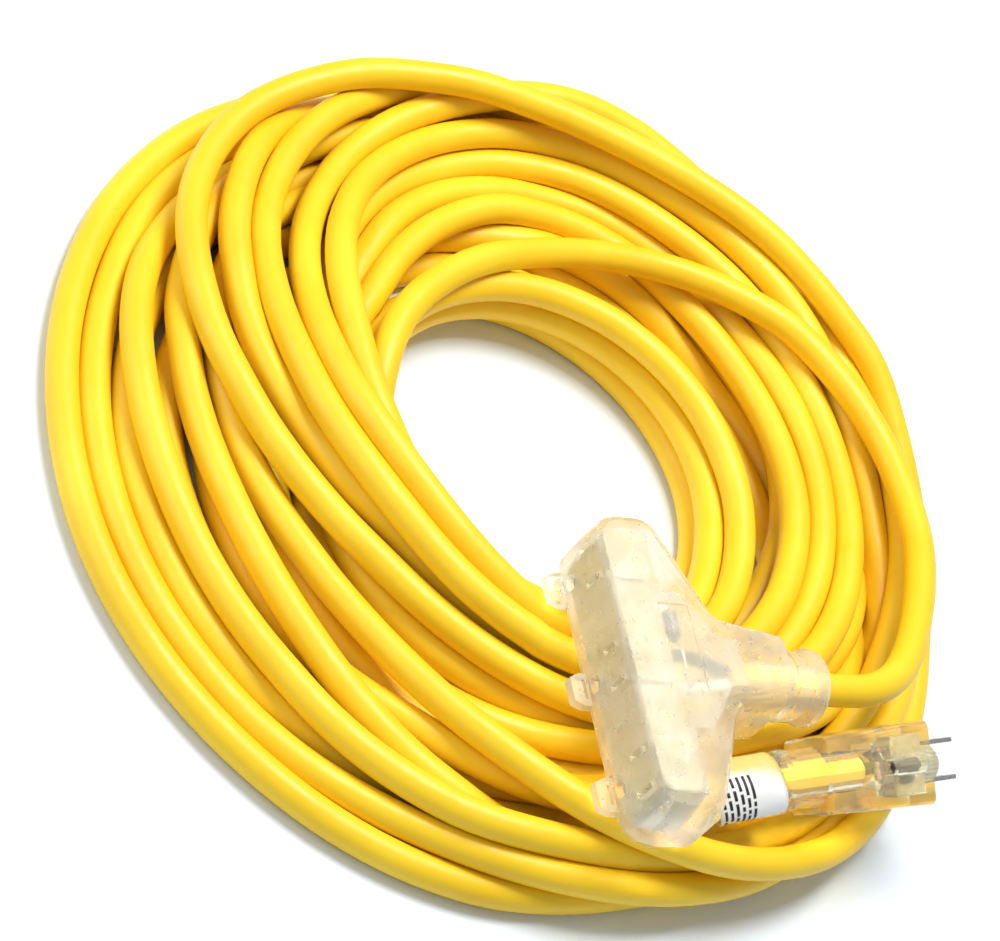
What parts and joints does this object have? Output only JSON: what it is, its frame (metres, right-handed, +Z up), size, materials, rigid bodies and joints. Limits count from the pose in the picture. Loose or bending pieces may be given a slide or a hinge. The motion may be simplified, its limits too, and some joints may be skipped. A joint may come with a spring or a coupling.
{
  "type": "outdoor extension cord",
  "caption": "Heavy-duty outdoor extension cord in a flat round coil, with a clear lighted multi-outlet connector and a clear grounded plug.",
  "frame": {"origin": "centre of the coil on the surface it lies on", "axes": "+Z up; +Y along the connector's neck, away from its outlet face; +X from the coil's centre towards the connector"},
  "size_m": [0.344, 0.344, 0.0705],
  "materials": {
    "jacket_yellow": "satin",
    "clear_pvc": "glossy",
    "milky_insert": "satin",
    "spring_brass": "satin",
    "plated_steel": "satin",
    "bare_copper": "satin",
    "black_insulation": "satin",
    "white_insulation": "satin",
    "green_insulation": "satin",
    "lamp_glass": "glossy",
    "resistor_body": "satin",
    "label_white": "satin"
  },
  "bodies": {
    "root": {"connector_ground_bus": "spring_brass", "connector_ground_conductor": "green_insulation", "connector_ground_copper": "bare_copper", "connector_housing": "clear_pvc", "connector_inner_block": "milky_insert", "connector_jacket_end": "jacket_yellow", "connector_lamp": "lamp_glass", "connector_lamp_resistor": "resistor_body", "connector_lamp_wire_1": "plated_steel", "connector_lamp_wire_2": "plated_steel", "connector_line_bus": "spring_brass", "connector_line_conductor": "black_insulation", "connector_line_copper": "bare_copper", "connector_neutral_bus": "spring_brass", "connector_neutral_conductor": "white_insulation", "connector_neutral_copper": "bare_copper", "cord_coil": "jacket_yellow", "cord_connector_lead": "jacket_yellow", "cord_plug_lead": "jacket_yellow", "label_sleeve": "label_white", "plug_bridge": "milky_insert", "plug_ground_conductor": "green_insulation", "plug_ground_copper": "bare_copper", "plug_ground_pin": "plated_steel", "plug_housing": "clear_pvc", "plug_jacket_end": "jacket_yellow", "plug_lamp": "lamp_glass", "plug_lamp_resistor": "resistor_body", "plug_lamp_wire_1": "plated_steel", "plug_lamp_wire_2": "plated_steel", "plug_line_blade": "plated_steel", "plug_line_conductor": "black_insulation", "plug_line_copper": "bare_copper", "plug_neutral_blade": "plated_steel", "plug_neutral_conductor": "white_insulation", "plug_neutral_copper": "bare_copper"}
  },
  "joints": []
}
